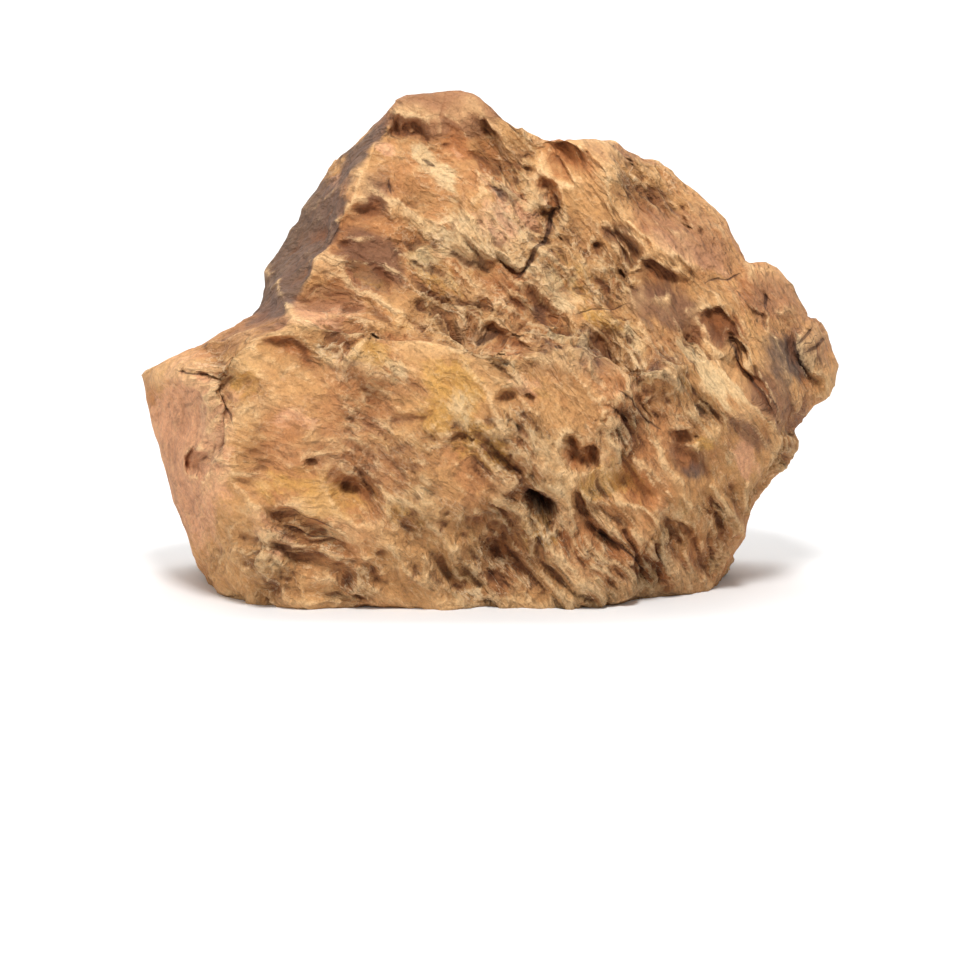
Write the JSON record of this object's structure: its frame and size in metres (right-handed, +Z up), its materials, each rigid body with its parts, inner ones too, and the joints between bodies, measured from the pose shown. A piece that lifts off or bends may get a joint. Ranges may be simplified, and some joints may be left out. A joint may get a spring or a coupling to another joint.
{
  "type": "aquarium dragon stone",
  "caption": "Broad, broken boulder of ochre clay stone with hollows, ledges and ridges on all sides, resting on a flat foot; centrepiece rock for an aquascape.",
  "frame": {"origin": "middle of the flat foot, on the surface that the stone rests on", "axes": "+X to the right of the show face, along the stone's length; +Y from the show face to the back; +Z up"},
  "size_m": [0.3128, 0.1705, 0.221],
  "materials": {
    "stone": "dry, matt, weathered ochre clay stone with pale dusty crests and brown hollows"
  },
  "bodies": {
    "root": {"dragon_stone": "stone"}
  },
  "joints": []
}
